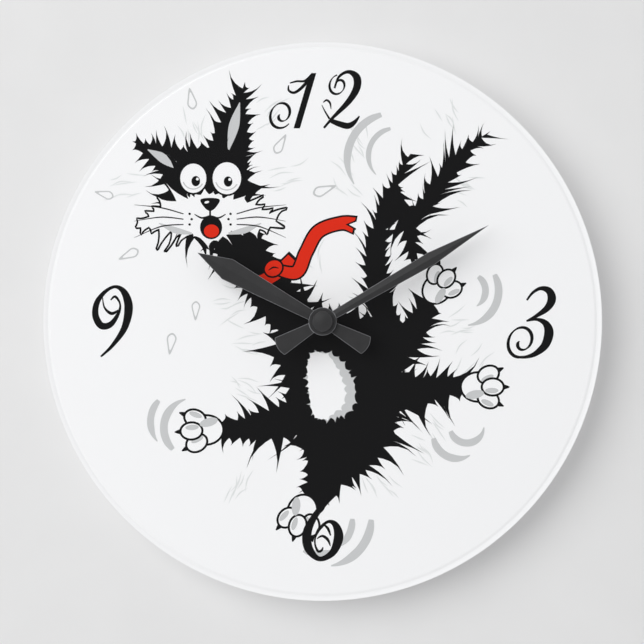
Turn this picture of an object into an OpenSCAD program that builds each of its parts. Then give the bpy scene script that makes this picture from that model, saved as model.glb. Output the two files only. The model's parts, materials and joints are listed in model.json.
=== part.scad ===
// Round wall clock: a clear acrylic dial, printed on its back, on a battery quartz movement
// that hangs from a stamped steel bracket.
// Every module draws in clock coordinates: x to the right, y up, z towards the viewer,
// with z = 0 in the wall plane and x = y = 0 on the hands' axis.
// place() turns them into the part's frame: X to the right, Z up, the wall on the +Y side.

/* [Dial] */
// Diameter of the acrylic dial
dial_d = 273; // [200:1:330]
// Thickness of the acrylic
acrylic_t = 6; // [5:0.5:8]
// Radius that rounds the acrylic's front edge
edge_r = 3.6; // [1:0.1:4]
// How far the printed backing stays inside the acrylic's rim
backing_inset = 0.8; // [0.5:0.1:3]
// Thickness of the printed white backing
backing_t = 0.2; // [0.2:0.05:0.5]

/* [Hands] */
// Hand axis to the tip of the hour hand
hour_length = 69.6; // [50:0.1:80]
// Hand axis to the tip of the minute hand
minute_length = 93.5; // [80:0.1:120]
// Clockwise angle of the hour hand from twelve
hour_angle = 298.8; // [0:0.1:360]
// Clockwise angle of the minute hand from twelve
minute_angle = 59.9; // [0:0.1:360]
// Hand axis to the flared end of each tail
tail_length = 25.4; // [20:0.1:30]

/* [Movement case] */
// Width and height of the square case
case_w = 56; // [56:0.1:58]
// Depth of the case
case_t = 16.6; // [16.6:0.1:17]
// Wall thickness of the case
wall = 1.4; // [1.2:0.1:1.4]
// Radius of the case's corners
case_corner = 4; // [3:0.5:5]

/* [Hanger] */
// Thickness of the bracket's steel
hanger_t = 1; // [0.8:0.1:1]
// Width of the bracket's hanging tab
hanger_w = 18; // [14:1:24]
// Radius of the hole that a screw head passes through
hanger_hole_r = 4; // [3:0.1:5]
// Height of the hanging hole above the hands' axis
hanger_hole_y = 37; // [35:0.5:40]

/* [Gears] */
// Share of the tooth width that is left out as backlash
tooth_thinning = 0.14; // [0.1:0.01:0.22]

/* [Hidden] */
$fn = 96;

eps = 0.01;
dial_r = dial_d / 2;

// Levels along z, from the wall to the viewer
inner_rear = wall;
inner_front = case_t - wall;
case_split = 12;
gasket_t = 1;
gasket_z = case_t + hanger_t;
backing_z = gasket_z + gasket_t;
ink_gap = 0.1;
acrylic_z = backing_z + backing_t + ink_gap;
dial_front = acrylic_z + acrylic_t;
washer_t = 0.6;
nut_t = 2.2;
bush_front = dial_front + washer_t + nut_t + 0.5;
hour_hand_z = bush_front + 0.7;
hub_t = 0.9;
minute_hand_z = hour_hand_z + 2.15;
cap_z = minute_hand_z + hub_t + 0.05;
cap_t = 2.6;

// Levels of the gears, each from its rear face
rotor_pinion_z = 3.2;
magnet_z = 5.6;
magnet_top = 8.2;
fifth_gear_z = 3.4;
second_gear_z = 5.2;
third_gear_z = 7.2;
centre_gear_z = 9.45;
plate_z = 10.6;
plate_t = 0.8;
motion_gear_z = 11.8;
hour_gear_z = 13.4;
board_z = 5.2;
board_t = 0.8;
stator_z = 6.4;
stator_t = 1;

// Radii of the shafts round the hands' axis, each with 0.05 to 0.07 of running clearance
second_arbor_r = 0.5;
minute_bore_r = 0.55;
minute_arbor_r = 1.73;
minute_tip_r = 1.35;
hour_bore_r = 1.8;
hour_pipe_r = 2.55;
bush_bore_r = 2.62;
bush_r = 4;
dial_hole_r = 4.15;
pivot_r = 0.4;
pivot_hole_r = 0.45;
rotor_pivot_r = 0.35;
rotor_hole_r = 0.4;
magnet_bore_r = 0.8;

// Gear trains: [teeth of the wheel, teeth of the pinion, distance between their axes]
centre_distance = 9;
fifth_distance = 9.72;
rotor_distance = 8.4;
motion_distance = 9.6;
rotor_teeth = 10;
fifth_teeth = 60;
fifth_leaves = 12;
second_teeth = 60;
second_leaves = 8;
third_teeth = 60;
third_leaves = 8;
centre_teeth = 64;
cannon_leaves = 12;
motion_teeth = 36;
motion_leaves = 10;
hour_teeth = 40;
setting_leaves = 12;

// Directions from one axis to the next, anticlockwise from x, and the axes they lead to
third_direction = 180;
fifth_direction = 25;
motion_direction = 100;
knob_direction = 80;
third_at = polar(centre_distance, third_direction);
fifth_at = polar(fifth_distance, fifth_direction);
rotor_at = fifth_at + polar(rotor_distance, fifth_direction);
motion_at = polar(motion_distance, motion_direction);
knob_at = motion_at + polar(motion_distance, knob_direction);

// Battery bay below the gears
battery_r = 7.25;
bay_top = -11.6;
bay_wall = 1;
bay_half = case_w / 2 - wall;
battery_y = (bay_top - bay_half) / 2;
battery_z = battery_r + 0.55;
battery_shoulder_l = 49.3;
battery_button_l = 1;
battery_film_t = 0.2;
battery_end = bay_half - 2.05;
strip_t = 0.3;
strip_z = 8.5;
strip_h = 2;

coil_y = 21.5;
coil_z = stator_z + stator_t + 0.6;
board_left = -25.6;
board_right = 7;
board_bottom = 11.5;
board_top = 25.4;
board_posts = [[-23.5, 23], [-10.5, 23.5], [-12, 13.2]];
plate_posts = [[-22, -8], [-22, 9], [19.5, -7.5], [18, 14.2]];
stator_posts = [[8.3, coil_y], [25.1, coil_y]];

plastic = [0.13, 0.13, 0.14];
nylon = [0.92, 0.91, 0.86];
brass = [0.80, 0.64, 0.32];
steel = [0.72, 0.73, 0.75];
charcoal = [0.22, 0.22, 0.23];

// ---------- helpers ----------

function polar(r, a) = [r * cos(a), r * sin(a)];

function involute(a) = tan(a) * 180 / PI - a;

// Half the angle that a tooth of n teeth of module m takes up at radius r
function tooth_half(r, n, m) =
    let (base = m * n / 2 * cos(20))
    90 / n * (1 - tooth_thinning) + involute(20) - involute(acos(base / max(r, base)));

// Radii at which a tooth's flank is drawn: pinions are undercut below their base circle
function flank_radii(n, m) =
    let (pitch = m * n / 2, pinion = n < 20)
    [
        pitch - (pinion ? 1.35 : 1.25) * m,
        pinion ? pitch * cos(20) : pitch - 0.5 * m,
        pitch,
        pitch + 0.45 * m,
        pitch + (pinion ? 0.8 : 0.85) * m
    ];

function gear_outline(n, m) =
    let (radii = flank_radii(n, m), last = len(radii) - 1)
    [
        for (i = [0:n - 1], k = [0:2 * last + 1])
            let (r = radii[k <= last ? k : 2 * last + 1 - k], side = k <= last ? -1 : 1)
            polar(r, 360 / n * i + side * tooth_half(r, n, m))
    ];

// A spur gear with the middle of a tooth at angle tooth_at
module gear(n, m, thick, tooth_at = 0) {
    rotate(tooth_at)
        linear_extrude(thick)
            polygon(gear_outline(n, m));
}

module place() {
    rotate([90, 0, 0])
        children();
}

module at(xy, z = 0) {
    translate([xy[0], xy[1], z])
        children();
}

module pin(xy, z0, z1, r) {
    at(xy, z0)
        cylinder(r = r, h = z1 - z0);
}

module ring(z0, z1, r_out, r_in) {
    difference() {
        pin([0, 0], z0, z1, r_out);
        pin([0, 0], z0 - 1, z1 + 1, r_in);
    }
}

// A block between two opposite corners
module block(low, high) {
    translate(low)
        cube(high - low);
}

// A round rod between two points
module rod(a, b, r) {
    d = b - a;
    translate(a)
        rotate([0, acos(d[2] / norm(d)), atan2(d[1], d[0])])
            cylinder(r = r, h = norm(d), $fn = 16);
}

module rounded_square(w, r) {
    square([w, w - 2 * r], center = true);
    square([w - 2 * r, w], center = true);
    for (x = [-1, 1], y = [-1, 1])
        translate([x, y] * (w / 2 - r))
            circle(r);
}

// A rod along x
module x_rod(x0, x1, y, z, r) {
    translate([x0, y, z])
        rotate([0, 90, 0])
            cylinder(r = r, h = x1 - x0);
}

// ---------- dial ----------

// Clear slab with a rounded front edge and a polished hole for the bush
module acrylic_dial() {
    back_edge = 0.4;
    profile = concat(
        [[dial_hole_r, 0], [dial_r - back_edge, 0], [dial_r, back_edge]],
        [for (a = [0:6:90]) [dial_r - edge_r, acrylic_t - edge_r] + polar(edge_r, a)],
        [[dial_hole_r, acrylic_t]]
    );
    color([0.9, 0.93, 0.94, 0.4])
        place()
            translate([0, 0, acrylic_z])
                rotate_extrude()
                    polygon(profile);
}

module printed_backing() {
    color([0.96, 0.96, 0.96])
        place()
            ring(backing_z, backing_z + backing_t, dial_r - backing_inset, dial_hole_r);
}

// ---------- movement case ----------

module shell_block(z0, z1, w, r) {
    translate([0, 0, z0])
        linear_extrude(z1 - z0)
            rounded_square(w, r);
}

module snap_windows() {
    for (side = [-1, 1], y = [17, -5])
        translate([side * case_w / 2, y, case_split + 1.5])
            cube([2 * wall + 1, 5, 1.6], center = true);
}

module front_case() {
    flange_r = 6.02;
    color(plastic)
        place()
            difference() {
                shell_block(case_split, case_t, case_w, case_corner);
                shell_block(case_split - 1, inner_front, case_w - 2 * wall, case_corner - wall);
                pin([0, 0], inner_front - 1, case_t + 1, flange_r);
                pin(motion_at, inner_front - 1, case_t - 0.5, pivot_hole_r);
                pin(knob_at, inner_front - 1, case_t - 0.5, 0.85);
                snap_windows();
            }
}

module bearing_post(xy, top, r, hole_r, hole_depth) {
    difference() {
        pin(xy, inner_rear - eps, top, r);
        pin(xy, top - hole_depth, top + 1, hole_r);
    }
}

module knob_well_solid() {
    pin(knob_at, 0, 4.5, 7.8);
}

// Marks sunk into the rear wall: the battery's poles, a two-way arrow for the knob, ejector pins
module rear_marks() {
    depth = 0.3;
    line = 0.8;
    pole_x = 22;
    pole_y = bay_top + 2.8;
    pole_half = 1.8;
    arrow_r = 8.6;
    for (x = [-pole_x, pole_x])
        block([x - pole_half, pole_y - line / 2, -1], [x + pole_half, pole_y + line / 2, depth]);
    block([-pole_x - line / 2, pole_y - pole_half, -1], [-pole_x + line / 2, pole_y + pole_half, depth]);
    at(knob_at, -1)
        linear_extrude(1 + depth) {
            polygon(concat(
                [for (a = [210:6:330]) polar(arrow_r + line / 2, a)],
                [for (a = [330:-6:210]) polar(arrow_r - line / 2, a)]
            ));
            for (end = [[212, 198], [328, 342]])
                polygon([polar(arrow_r - 1, end[0]), polar(arrow_r + 1, end[0]), polar(arrow_r, end[1])]);
        }
    for (x = [-23, 23], y = [-3, 23])
        pin([x, y], -1, depth / 2, 1.5);
}

module rear_cover() {
    color(plastic)
        place() {
            difference() {
                union() {
                    difference() {
                        shell_block(0, case_split, case_w, case_corner);
                        shell_block(inner_rear, case_split + 1, case_w - 2 * wall, case_corner - wall);
                    }
                    intersection() {
                        knob_well_solid();
                        shell_block(0, case_split, case_w, case_corner);
                    }
                    block([-bay_half, bay_top, 0.5], [bay_half, bay_top + bay_wall, inner_front - 0.2]);
                }
                // battery window in the rear wall
                block([-bay_half, -bay_half, -1], [bay_half, bay_top, inner_rear + 1]);
                // knob well and the stem's hole through its floor
                pin(knob_at, -1, 3.5, 6.8);
                pin(knob_at, 3, 5, 1.67);
                rear_marks();
                // notches that let the contact strips through the bay's wall
                for (side = [-1, 1])
                    translate([side * bay_half, bay_top + bay_wall / 2, strip_z + strip_h / 2])
                        cube([1, bay_wall + 1, strip_h + 0.4], center = true);
            }
            bearing_post(third_at, 4.8, 1.6, pivot_hole_r, 1.3);
            bearing_post(fifth_at, 2.9, 1.4, pivot_hole_r, 1.1);
            bearing_post(rotor_at, 2.8, 1.4, rotor_hole_r, 1.1);
            bearing_post([0, 0], 4.6, 1.2, minute_bore_r, 2.6);
            for (xy = board_posts) {
                pin(xy, inner_rear - eps, board_z, 1.3);
                pin(xy, board_z - eps, board_z + board_t + 0.5, 0.6);
            }
            for (xy = plate_posts) {
                pin(xy, inner_rear - eps, plate_z, 1.4);
                pin(xy, plate_z - eps, plate_z + plate_t + 0.3, 0.75);
            }
            for (xy = stator_posts) {
                pin(xy, inner_rear - eps, stator_z, 1);
                pin(xy, stator_z - eps, stator_z + stator_t + 1.5, 0.7);
            }
            pin([24.4, 5.6], inner_rear - eps, stator_z, 1.2);
            // snap hooks that catch in the front case's windows
            for (side = [-1, 1], y = [17, -5]) {
                translate([side * (bay_half - 0.5), y, case_split + 0.4])
                    cube([1, 4, 3.2], center = true);
                translate([side * (bay_half + 0.3), y, case_split + 1.5])
                    cube([0.8, 4, 1], center = true);
            }
        }
}

// Brass bush: a flange moulded into the case, a smooth bore, and a thread for the nut
module threaded_bush() {
    thread_start = gasket_z + gasket_t;
    pitch = 0.75;
    depth = 0.35;
    turns = floor((bush_front - thread_start) / pitch);
    profile = concat(
        [
            [bush_bore_r, inner_front], [6, inner_front], [6, case_t], [bush_r, case_t],
            [bush_r, thread_start]
        ],
        [
            for (i = [0:turns - 1], half = [0.5, 1])
                [half == 1 ? bush_r : bush_r - depth, thread_start + (i + half) * pitch]
        ],
        [[bush_r - depth, bush_front], [bush_bore_r, bush_front]]
    );
    color(brass)
        place()
            rotate_extrude()
                polygon(profile);
}

// Plate that carries the front pivots of the going train
module middle_plate() {
    color(nylon)
        place()
            difference() {
                union() {
                    block([-24, -9.6, plate_z], [21.5, 15.8, plate_z + plate_t]);
                    block([-5, 15.8 - eps, plate_z], [5, 22.4, plate_z + plate_t]);
                }
                pin([0, 0], 0, case_t, hour_bore_r);
                pin(third_at, 0, case_t, pivot_hole_r);
                pin(fifth_at, 0, case_t, pivot_hole_r);
                pin(motion_at, 0, case_t, pivot_hole_r);
                pin(rotor_at, 0, case_t, rotor_hole_r);
                pin(knob_at, 0, case_t, 2);
                for (xy = plate_posts)
                    pin(xy, 0, case_t, 0.8);
            }
}

// ---------- electrics ----------

module circuit_board() {
    color([0.10, 0.36, 0.20])
        place()
            difference() {
                block([board_left, board_bottom, board_z], [board_right, board_top, board_z + board_t]);
                pin(knob_at, 0, case_t, 2.4);
                for (xy = board_posts)
                    pin(xy, 0, case_t, 0.65);
            }
}

// Potting blob over the timing circuit
module timing_chip() {
    dome_r = 5.2;
    foot_r = 3.2;
    board_face = board_z + board_t;
    rise = dome_r - sqrt(dome_r * dome_r - foot_r * foot_r);
    color([0.05, 0.05, 0.06])
        place()
            intersection() {
                translate([-17, 17.5, board_face + rise - dome_r])
                    sphere(dome_r);
                pin([-17, 17.5], board_face, board_face + 2, foot_r);
            }
}

module quartz_crystal() {
    can_r = 1;
    can_z = board_z + board_t + can_r;
    color(steel)
        place() {
            x_rod(-21, -15, 23.4, can_z, can_r);
            for (side = [-0.4, 0.4])
                x_rod(-15 - eps, -13.2, 23.4 + side, can_z, 0.15);
        }
}

module coil_bobbin() {
    color(nylon)
        place()
            difference() {
                union() {
                    x_rod(9.6, 10.6, coil_y, coil_z, 4.2);
                    x_rod(22.8, 23.8, coil_y, coil_z, 4.2);
                    x_rod(9.6, 23.8, coil_y, coil_z, 2);
                }
                block([9, coil_y - 1.25, coil_z - 0.65], [25, coil_y + 1.25, coil_z + 0.65]);
            }
}

module coil_winding() {
    color([0.72, 0.38, 0.18])
        place()
            difference() {
                x_rod(10.6, 22.8, coil_y, coil_z, 3.7);
                x_rod(10, 23, coil_y, coil_z, 2);
            }
}

module coil_core() {
    core_z = stator_z + stator_t;
    color(steel)
        place()
            difference() {
                block([7.2, coil_y - 1.2, core_z], [26.2, coil_y + 1.2, core_z + 1.2]);
                for (xy = stator_posts)
                    pin(xy, 0, case_t, 0.75);
            }
}

// Enamelled wires from the winding's flange to the board
module coil_leads() {
    wire_r = 0.15;
    pad_z = board_z + board_t + wire_r;
    over_stator = stator_z + stator_t + 0.4;
    color([0.72, 0.38, 0.18])
        place()
            for (y = [18.6, 24.4]) {
                rod([4.4, y, pad_z], [5.6, y, pad_z], wire_r);
                rod([5.5, y, pad_z], [6.8, y, over_stator], wire_r);
                rod([6.7, y, over_stator], [9.6, y, coil_z], wire_r);
            }
}

// Soft-iron plate: its hole holds the rotor and its arms reach the coil's core
module stator() {
    outline = [
        [10.6, 3.4], [26.2, 3.4], [26.2, 22.8], [24, 22.8], [24, 12], [12.5, 12], [9.4, 15],
        [9.4, 22.8], [7.2, 22.8], [7.2, 13.5], [10.6, 10]
    ];
    color(steel)
        place()
            difference() {
                translate([0, 0, stator_z])
                    linear_extrude(stator_t)
                        polygon(outline);
                pin(rotor_at, 0, case_t, 3.4);
                // notches that set the rotor's resting angle
                for (a = [50, 230])
                    at(rotor_at + polar(3.4, a), 0)
                        rotate(a)
                            block([-0.5, -0.4, 0], [0.5, 0.4, case_t]);
                for (xy = stator_posts)
                    pin(xy, 0, case_t, 0.75);
            }
}

module contact_plate(side) {
    inner = side * (bay_half - strip_t);
    outer = side * bay_half;
    block([min(inner, outer), -23.5, 3.3], [max(inner, outer), -14.5, 12.3]);
}

module positive_contact() {
    edge = -bay_half;
    tab_z = board_z + board_t;
    color(steel)
        place() {
            contact_plate(-1);
            x_rod(edge + strip_t - eps, edge + strip_t + 0.35, battery_y, battery_z, 1.6);
            block([edge, -14.6, strip_z], [edge + strip_t, 13, strip_z + strip_h]);
            block([edge, 12, tab_z], [edge + strip_t, 13, strip_z + eps]);
            block([edge, 12, tab_z], [edge + 3, 13, tab_z + strip_t]);
        }
}

module negative_contact() {
    edge = bay_half;
    run_y = bay_top + bay_wall + 0.3;
    left = -25;
    tab_z = board_z + board_t;
    top = strip_z + strip_h;
    color(steel)
        place() {
            contact_plate(1);
            block([edge - strip_t, -14.6, strip_z], [edge, run_y + strip_t, top]);
            block([left, run_y, strip_z], [edge, run_y + strip_t, top]);
            block([left, run_y, strip_z], [left + strip_t, 15.5, top]);
            block([left, 14.5, tab_z], [left + strip_t, 15.5, strip_z + eps]);
            block([left, 14.5, tab_z], [left + 3.4, 15.5, tab_z + strip_t]);
        }
}

// Conical coil spring against the battery's flat end, drawn as a wire swept along a helix
module negative_spring() {
    turns = 2.5;
    rings = 60;
    sides = 8;
    wire_r = 0.25;
    x_foot = bay_half - strip_t - wire_r;
    rise = 1.15;
    function spring_radius(t) = 4.2 - 2.2 * t;
    points = [
        for (i = [0:rings], k = [0:sides - 1])
            let (
                t = i / rings,
                a = 360 * turns * t,
                b = 360 * k / sides,
                reach = spring_radius(t) + wire_r * cos(b)
            )
            [
                x_foot - rise * t - wire_r * sin(b),
                battery_y + reach * cos(a),
                battery_z + reach * sin(a)
            ]
    ];
    skin = [
        for (i = [0:rings - 1], k = [0:sides - 1])
            let (n = (k + 1) % sides)
            [i * sides + k, i * sides + n, (i + 1) * sides + n, (i + 1) * sides + k]
    ];
    ends = [
        [for (k = [0:sides - 1]) sides - 1 - k],
        [for (k = [0:sides - 1]) rings * sides + k]
    ];
    color(steel)
        place()
            polyhedron(points, concat(skin, ends), convexity = 6);
}

// ---------- fixing and hanging ----------

// Cranked steel plate: clamped behind the dial, bent back over the case, with a keyhole tab
module hanger_bracket() {
    tab_front = 3.2;
    tab_back = tab_front - hanger_t;
    shelf_y = case_w / 2 + 0.2;
    tab_top = hanger_hole_y + hanger_hole_r + 5.2;
    corner_r = 4;
    slot_r = 2.2;
    slot_top = hanger_hole_y + hanger_hole_r + 1;
    half = hanger_w / 2;
    color(steel)
        place()
            difference() {
                union() {
                    pin([0, 0], case_t, gasket_z, 13);
                    block([-half, 0, case_t], [half, shelf_y + hanger_t, gasket_z]);
                    block([-half, shelf_y, tab_back], [half, shelf_y + hanger_t, gasket_z]);
                    block([-half, shelf_y, tab_back], [half, tab_top - corner_r, tab_front]);
                    block(
                        [corner_r - half, tab_top - corner_r - eps, tab_back],
                        [half - corner_r, tab_top, tab_front]
                    );
                    for (side = [-1, 1])
                        pin([side * (half - corner_r), tab_top - corner_r], tab_back, tab_front, corner_r);
                }
                pin([0, 0], 0, gasket_z + 1, bush_r + 0.1);
                pin([0, hanger_hole_y], 0, tab_front + 1, hanger_hole_r);
                block([-slot_r, hanger_hole_y, 0], [slot_r, slot_top, tab_front + 1]);
                pin([0, slot_top], 0, tab_front + 1, slot_r);
            }
}

module rubber_gasket() {
    color([0.08, 0.08, 0.08])
        place()
            ring(gasket_z, backing_z, 13.5, bush_r + 0.2);
}

module brass_washer() {
    color(brass)
        place()
            ring(dial_front, dial_front + washer_t, 6.6, bush_r + 0.1);
}

module hex_nut() {
    nut_z = dial_front + washer_t;
    across_flats = 11;
    color(brass)
        place()
            difference() {
                at([0, 0], nut_z)
                    cylinder(r = across_flats / 2 / cos(30), h = nut_t, $fn = 6);
                pin([0, 0], nut_z - 1, nut_z + nut_t + 1, bush_r);
            }
}

// ---------- hands ----------

// A pointed blade with a raised ridge, on a round hub, with a flared tail.
// Drawn towards twelve and then turned clockwise.
module hand(z, length, shoulder, half_width, root_half, hub_r, bore_r, angle) {
    flat_t = 0.5;
    tail_half = 4.8;
    slope = 5.5;
    blade = [[root_half, 0], [half_width, shoulder], [0, length], [-half_width, shoulder], [-root_half, 0]];
    // the tail ends in an arc round a point on the hand's axis
    end_r = 9;
    spread = asin(tail_half / end_r);
    tail = concat(
        [[-1.9, 0]],
        [for (i = [-4:4]) [0, end_r - tail_length] + polar(end_r, 270 + spread * i / 4)],
        [[1.9, 0]]
    );
    rotate(-angle)
        translate([0, 0, z])
            difference() {
                union() {
                    difference() {
                        linear_extrude(hub_t)
                            polygon(blade);
                        for (side = [0, 1])
                            mirror([side, 0, 0])
                                translate([0, 0, hub_t])
                                    rotate([0, slope, 0])
                                        block([0, -1, 0], [20, length + 1, 3]);
                    }
                    linear_extrude(flat_t)
                        polygon(tail);
                    cylinder(r = hub_r, h = hub_t);
                }
                translate([0, 0, -1])
                    cylinder(r = bore_r, h = 4);
            }
}

module hour_hand() {
    color(charcoal)
        place()
            hand(hour_hand_z, hour_length, hour_length * 0.76, 5.5, 2.2, 6.5, 3.2, hour_angle);
}

module minute_hand() {
    color(charcoal)
        place()
            hand(minute_hand_z, minute_length, minute_length * 0.655, 3.3, 1.9, 6.8, 2.4, minute_angle);
}

module hour_collet() {
    color(brass)
        place() {
            ring(hour_hand_z, hour_hand_z + hub_t + 0.1, 3.2, hour_pipe_r);
            ring(hour_hand_z - 0.4, hour_hand_z, 4, hour_pipe_r);
        }
}

module minute_collet() {
    color(brass)
        place()
            ring(minute_hand_z, minute_hand_z + hub_t, 2.4, minute_tip_r);
}

// Closed nut that covers the arbor's end, with a rounded rim and a low domed face
module cap_nut() {
    cap_r = 4.95;
    rim_r = 0.7;
    dome_h = 0.3;
    dome_r = cap_r - rim_r;
    rim_z = cap_t - dome_h - rim_r;
    rim = [for (a = [0:15:90]) [dome_r, rim_z] + polar(rim_r, a)];
    dome = [for (i = [5:-1:0]) [dome_r * i / 6, cap_t - dome_h * pow(i / 6, 2)]];
    color(charcoal)
        place()
            translate([0, 0, cap_z])
                difference() {
                    rotate_extrude()
                        polygon(concat([[0, 0], [cap_r, 0]], rim, dome));
                    translate([0, 0, -1])
                        cylinder(r = minute_tip_r, h = 1 + cap_t - 0.9);
                }
}

// ---------- motion work: minute arbor to hour wheel ----------

module minute_arbor() {
    rear = 8.4;
    tip_z = minute_hand_z;
    color(brass)
        place()
            difference() {
                union() {
                    pin([0, 0], rear, tip_z, minute_arbor_r);
                    pin([0, 0], rear, 8.9, 2.3);
                    pin([0, 0], 10.2, plate_z - 0.1, 2.2);
                    pin([0, 0], tip_z - eps, cap_z + cap_t - 1, minute_tip_r);
                    at([0, 0], motion_gear_z)
                        gear(cannon_leaves, motion_distance / 24, 1.1, motion_direction);
                }
                pin([0, 0], rear - 1, case_t * 3, minute_bore_r);
            }
}

module motion_wheel() {
    mesh_at = motion_direction + 180;
    color(nylon)
        place()
            at(motion_at) {
                at([0, 0], motion_gear_z)
                    gear(motion_teeth, motion_distance / 24, 1, mesh_at + 180 / motion_teeth);
                at([0, 0], motion_gear_z + 1 - eps)
                    gear(motion_leaves, motion_distance / 25, 1.8, mesh_at);
                pin([0, 0], plate_z + 0.1, motion_gear_z + eps, pivot_r);
                pin([0, 0], motion_gear_z + 2.8 - 2 * eps, case_t - 0.7, pivot_r);
            }
}

module hour_wheel() {
    gear_t = 1.2;
    color(nylon)
        place()
            difference() {
                union() {
                    at([0, 0], hour_gear_z)
                        gear(hour_teeth, motion_distance / 25, gear_t, motion_direction + 180 / hour_teeth);
                    pin([0, 0], hour_gear_z, inner_front - 0.2, 3.4);
                    pin([0, 0], hour_gear_z, hour_hand_z + hub_t + 0.1, hour_pipe_r);
                }
                pin([0, 0], hour_gear_z - 1, case_t * 3, hour_bore_r);
            }
}

// Stem that turns the motion wheel when the hands are set
module setting_stem() {
    // the motion wheel has a gap on the line to this stem, so the pinion has a tooth there
    color(nylon)
        place()
            at(knob_at) {
                pin([0, 0], 1, 3.1, 1.2);
                pin([0, 0], 3.1 - eps, motion_gear_z + eps, 1.6);
                at([0, 0], motion_gear_z)
                    gear(setting_leaves, motion_distance / 24, 1, knob_direction + 180);
                pin([0, 0], motion_gear_z + 1 - eps, case_t - 0.7, 0.8);
            }
}

module setting_knob() {
    knob_r = 6.2;
    grips = 20;
    color(plastic)
        place()
            at(knob_at)
                difference() {
                    union() {
                        pin([0, 0], 0.9, 3, knob_r);
                        pin([0, 0], 0.5, 0.9 + eps, knob_r - 0.6);
                    }
                    pin([0, 0], 1, 4, 1.2);
                    for (i = [0:grips - 1])
                        at(polar(knob_r + 0.25, 360 / grips * i), 0)
                            cylinder(r = 0.6, h = 4, $fn = 24);
                    // slot for a coin or a fingernail
                    block([-4, -0.6, 0], [4, 0.6, 0.85]);
                }
}

// ---------- going train: rotor to centre wheel ----------

// Driven by the train, and turning the arbor through the clutch spring
module centre_wheel() {
    color(nylon)
        place()
            difference() {
                at([0, 0], centre_gear_z)
                    gear(centre_teeth, centre_distance / 36, 0.7, third_direction + 180 / centre_teeth);
                pin([0, 0], 0, case_t, hour_bore_r);
            }
}

// Dished three-legged washer between the arbor's shoulder and the centre wheel
module clutch_spring() {
    color(brass)
        place()
            difference() {
                union() {
                    ring(8.95, 9.15, 2.8, hour_bore_r);
                    for (a = [90, 210, 330])
                        rotate(a) {
                            block([2, -0.7, 8.95], [4.6, 0.7, 9.15]);
                            block([4.2, -0.7, 8.95], [4.6, 0.7, 9.4]);
                        }
                }
                pin([0, 0], 0, case_t, hour_bore_r);
            }
}

module third_wheel() {
    color(nylon)
        place()
            at(third_at) {
                at([0, 0], third_gear_z)
                    gear(third_teeth, centre_distance / 34, 0.8, third_direction + 180 + 180 / third_teeth);
                at([0, 0], third_gear_z + 0.8 - eps)
                    gear(third_leaves, centre_distance / 36, 2.2, third_direction + 180);
                pin([0, 0], 3.6, third_gear_z + eps, pivot_r);
                pin([0, 0], third_gear_z + 3 - 2 * eps, plate_z + plate_t, pivot_r);
            }
}

module second_wheel() {
    module_gear = fifth_distance / 36;
    color(nylon)
        place()
            difference() {
                union() {
                    at([0, 0], second_gear_z)
                        gear(second_teeth, module_gear, 0.8, fifth_direction);
                    at([0, 0], second_gear_z + 0.8 - eps)
                        gear(second_leaves, centre_distance / 34, 2, third_direction);
                }
                pin([0, 0], 0, case_t, second_arbor_r);
            }
}

module second_arbor() {
    color(steel)
        place()
            pin([0, 0], 2.2, minute_hand_z + 1.8, second_arbor_r);
}

module fifth_wheel() {
    color(nylon)
        place()
            at(fifth_at) {
                at([0, 0], fifth_gear_z)
                    gear(fifth_teeth, rotor_distance / 35, 0.8, fifth_direction);
                at([0, 0], fifth_gear_z + 0.8 - eps)
                    gear(fifth_leaves, fifth_distance / 36, 1.8, fifth_direction + 180 + 180 / fifth_leaves);
                pin([0, 0], 2, fifth_gear_z + eps, pivot_r);
                pin([0, 0], fifth_gear_z + 2.6 - 2 * eps, plate_z + plate_t, pivot_r);
            }
}

module rotor_pinion() {
    color(nylon)
        place()
            at(rotor_at) {
                at([0, 0], rotor_pinion_z)
                    gear(rotor_teeth, rotor_distance / 35, 1.2, fifth_direction + 180 + 180 / rotor_teeth);
                pin([0, 0], 1.9, rotor_pinion_z + eps, rotor_pivot_r);
                pin([0, 0], rotor_pinion_z + 1.2 - eps, magnet_z, 1.1);
                pin([0, 0], magnet_z - eps, magnet_top, magnet_bore_r);
                pin([0, 0], magnet_top - eps, plate_z + plate_t, rotor_pivot_r);
            }
}

module rotor_magnet() {
    color([0.30, 0.30, 0.32])
        place()
            at(rotor_at)
                ring(magnet_z, magnet_top, 2.9, magnet_bore_r);
}

// ---------- battery ----------

module battery_can() {
    shoulder = battery_end - battery_shoulder_l;
    color([0.75, 0.75, 0.77])
        place() {
            x_rod(shoulder, battery_end, battery_y, battery_z, battery_r - battery_film_t);
            x_rod(shoulder - battery_button_l, shoulder + eps, battery_y, battery_z, 2.7);
        }
}

module battery_wrap() {
    left = battery_end - battery_shoulder_l + 0.5;
    right = battery_end - 0.4;
    color([0.20, 0.42, 0.45])
        place()
            difference() {
                x_rod(left, right, battery_y, battery_z, battery_r);
                x_rod(left - 1, right + 1, battery_y, battery_z, battery_r - battery_film_t);
            }
}

acrylic_dial();
printed_backing();
front_case();
rear_cover();
threaded_bush();
middle_plate();
circuit_board();
timing_chip();
quartz_crystal();
coil_bobbin();
coil_winding();
coil_core();
coil_leads();
stator();
positive_contact();
negative_contact();
negative_spring();
hanger_bracket();
rubber_gasket();
brass_washer();
hex_nut();
hour_wheel();
hour_hand();
hour_collet();
minute_arbor();
minute_hand();
minute_collet();
cap_nut();
motion_wheel();
setting_stem();
setting_knob();
centre_wheel();
clutch_spring();
third_wheel();
second_wheel();
second_arbor();
fifth_wheel();
rotor_pinion();
rotor_magnet();
battery_can();
battery_wrap();
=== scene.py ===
"""Looks of a round acrylic wall clock: its printed picture, materials, wall, lights and camera."""
import json
import math
import random

import bmesh
import bpy
import numpy as np
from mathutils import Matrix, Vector
from mathutils.geometry import delaunay_2d_cdt

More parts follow.
